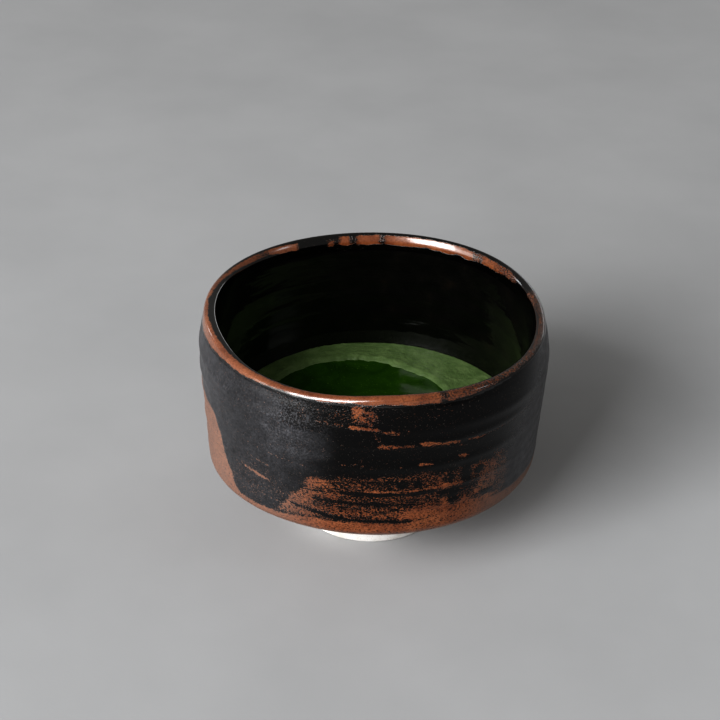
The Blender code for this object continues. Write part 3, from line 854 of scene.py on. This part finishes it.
def froth_piece():
    """The froth ring: a crowned bed of bubbles with a ragged shore round the pond."""
    theta = columns(420)
    base, edge_height = TEA_LEVEL + FROTH_FOOT, TEA_LEVEL + FROTH_EDGE
    wall_r, wall_z = section_at(np.array([at_inside(FROTH_TOP)]), inset=-0.1)
    outer = ring_points(wall_r + plan_offset(theta, wall_r, wall_z), theta, base)[:, :2]
    ragged = 0.55 * wall_waves(theta, 0.0, 51, low=14.0, high=70.0)
    ragged = ragged + 0.3 * wall_waves(theta, 0.0, 52, low=3.0, high=12.0)
    shore = ring_points(POND_RADIUS + ragged, theta, base)[:, :2] + POND_CENTRE
    share = np.linspace(0.0, 1.0, 46)[:, None, None]
    share = 0.5 * (share + share**1.5)
    flat = shore[None] * (1.0 - share) + outer[None] * share
    width = np.linalg.norm(outer - shore, axis=1)[None, :]
    from_shore = share[..., 0] * width
    rise = (FROTH_TOP - 0.45 - base) * smoothstep(-0.2, 2.6, from_shore) ** 0.6
    rise = rise * (0.90 + 0.07 * waves(flat[..., 0], flat[..., 1], 0.0, 53, low=9.0, high=30.0))

    rng = np.random.default_rng(54)
    turn = rng.uniform(-np.pi, np.pi, BUBBLES)
    depth = rng.uniform(0.02, 1.0, BUBBLES)
    near = np.interp(turn, theta, np.arange(len(theta))).astype(int)
    centre = shore[near] * (1 - depth[:, None]) + outer[near] * depth[:, None]
    size = 0.30 + 0.45 * rng.power(0.5, BUBBLES)
    places = flat.reshape(-1, 2)
    domes = np.zeros(len(places))
    for (x, y), radius in zip(centre, size):
        near = np.flatnonzero(np.abs(places[:, 0] - x) < radius)
        off = (places[near, 0] - x) ** 2 + (places[near, 1] - y) ** 2
        cap = BUBBLE_RISE * np.sqrt(np.maximum(radius * radius - off, 0.0))
        domes[near] = np.maximum(domes[near], cap)
    top = np.concatenate([flat, (base + rise)[..., None]], axis=-1)
    top[..., 2] += np.minimum(domes.reshape(rise.shape), 0.6) * smoothstep(0.0, 0.6, from_shore)
    top[..., 2] = np.minimum(top[..., 2], FROTH_TOP + 0.2)
    top[0, :, 2] = edge_height
    bottom = np.stack([outer[:, 0], outer[:, 1], np.full(len(theta), edge_height)], axis=-1)
    points = np.concatenate([top, bottom[None], top[:1]])
    quads = grid_quads(*points.shape[:2]).reshape(-1, 4)
    piece = mesh_object("froth", points.reshape(-1, 3), quads, None, None, froth_material())
    place(piece, "tea_froth")


# ---------------------------------------------------------------- stage, light and camera (metres)
FLOOR_HALF = 4.0
ROOM_COLOUR, ROOM_STRENGTH = (1.0, 0.975, 0.94, 1.0), 0.22
LIGHTS = [  # name, place, size, watts, colour
    ("window_low", (-2.70, -1.67, 0.80), (2.16, 1.50), 31.0, (1.0, 0.99, 0.97)),
    ("softbox_front_left", (-1.75, -2.11, 1.48), (1.80, 1.62), 112.0, (0.985, 0.99, 1.0)),
    ("strip_left", (-0.70, -0.55, 1.02), (0.22, 0.50), 1.2, (0.95, 0.98, 1.0)),
    ("card_left", (-1.40, 0.97, 0.36), (0.27, 0.27), 0.9, (0.92, 0.96, 1.0)),
    ("card_right", (1.25, -0.47, 0.85), (0.24, 0.24), 0.8, (0.88, 0.94, 1.0)),
    ("card_back_right", (0.83, 1.50, 0.34), (1.00, 0.22), 0.9, (0.95, 0.98, 1.0)),
]  # fmt: skip
LIGHTS_AIM = (0.0, 0.0, 0.04)
LENS, SENSOR, NEAREST = 85.0, 36.0, 0.01  # mm, mm, metres
CAMERA_ELEVATION, CAMERA_ROLL = math.radians(30.58), math.radians(1.38)
CAMERA_DISTANCE, CAMERA_ASIDE, CAMERA_ABOVE = 0.5993, -0.0046, 0.0049  # from the aim, along the view's axes
AIM_HEIGHT = 0.0541


def floor():
    mesh = bpy.data.meshes.new("floor")
    corners = [(x * FLOOR_HALF, y * FLOOR_HALF, 0.0) for x, y in ((-1, -1), (1, -1), (1, 1), (-1, 1))]
    mesh.from_pydata(corners, [], [(0, 1, 2, 3)])
    mesh.materials.append(floor_material())
    plane = bpy.data.objects.new("floor", mesh)
    bpy.context.scene.collection.objects.link(plane)


def area_light(name, at, size, power, colour):
    data = bpy.data.lights.new(name, "AREA")
    data.shape, data.size, data.size_y = "RECTANGLE", size[0], size[1]
    data.energy, data.color = power, colour
    lamp = bpy.data.objects.new(name, data)
    lamp.location = at
    lamp.rotation_euler = (Vector(LIGHTS_AIM) - Vector(at)).to_track_quat("-Z", "Y").to_euler()
    bpy.context.scene.collection.objects.link(lamp)


def lights():
    """A low window and a higher softbox at the front left, small cards for the highlights, and a dim room."""
    world = bpy.data.worlds.new("studio")
    world.use_nodes = True
    background = world.node_tree.nodes["Background"]
    background.inputs["Color"].default_value = ROOM_COLOUR
    background.inputs["Strength"].default_value = ROOM_STRENGTH
    bpy.context.scene.world = world
    for name, at, size, power, colour in LIGHTS:
        area_light(name, at, size, power, colour)
    bpy.context.scene.view_settings.view_transform = "Standard"
    bpy.context.scene.view_settings.look = "High Contrast"


def camera():
    """A long lens from the front, looking down on the bowl and turned slightly on its axis."""
    forward = Vector((0.0, math.cos(CAMERA_ELEVATION), -math.sin(CAMERA_ELEVATION)))
    right = Vector((1.0, 0.0, 0.0))
    up = right.cross(forward)
    aim = Vector((0.0, 0.0, AIM_HEIGHT))
    place_at = aim - forward * CAMERA_DISTANCE + right * CAMERA_ASIDE + up * CAMERA_ABOVE
    x_axis = right * math.cos(CAMERA_ROLL) + up * math.sin(CAMERA_ROLL)
    y_axis = up * math.cos(CAMERA_ROLL) - right * math.sin(CAMERA_ROLL)
    data = bpy.data.cameras.new("camera")
    data.lens, data.sensor_width, data.clip_start = LENS, SENSOR, NEAREST
    view = bpy.data.objects.new("camera", data)
    turn = Matrix((x_axis, y_axis, -forward)).transposed().to_4x4()
    view.matrix_world = Matrix.Translation(place_at) @ turn
    bpy.context.scene.collection.objects.link(view)
    bpy.context.scene.camera = view


glaze_pieces()
foot_pieces()
tea_piece()
froth_piece()
floor()
lights()
camera()
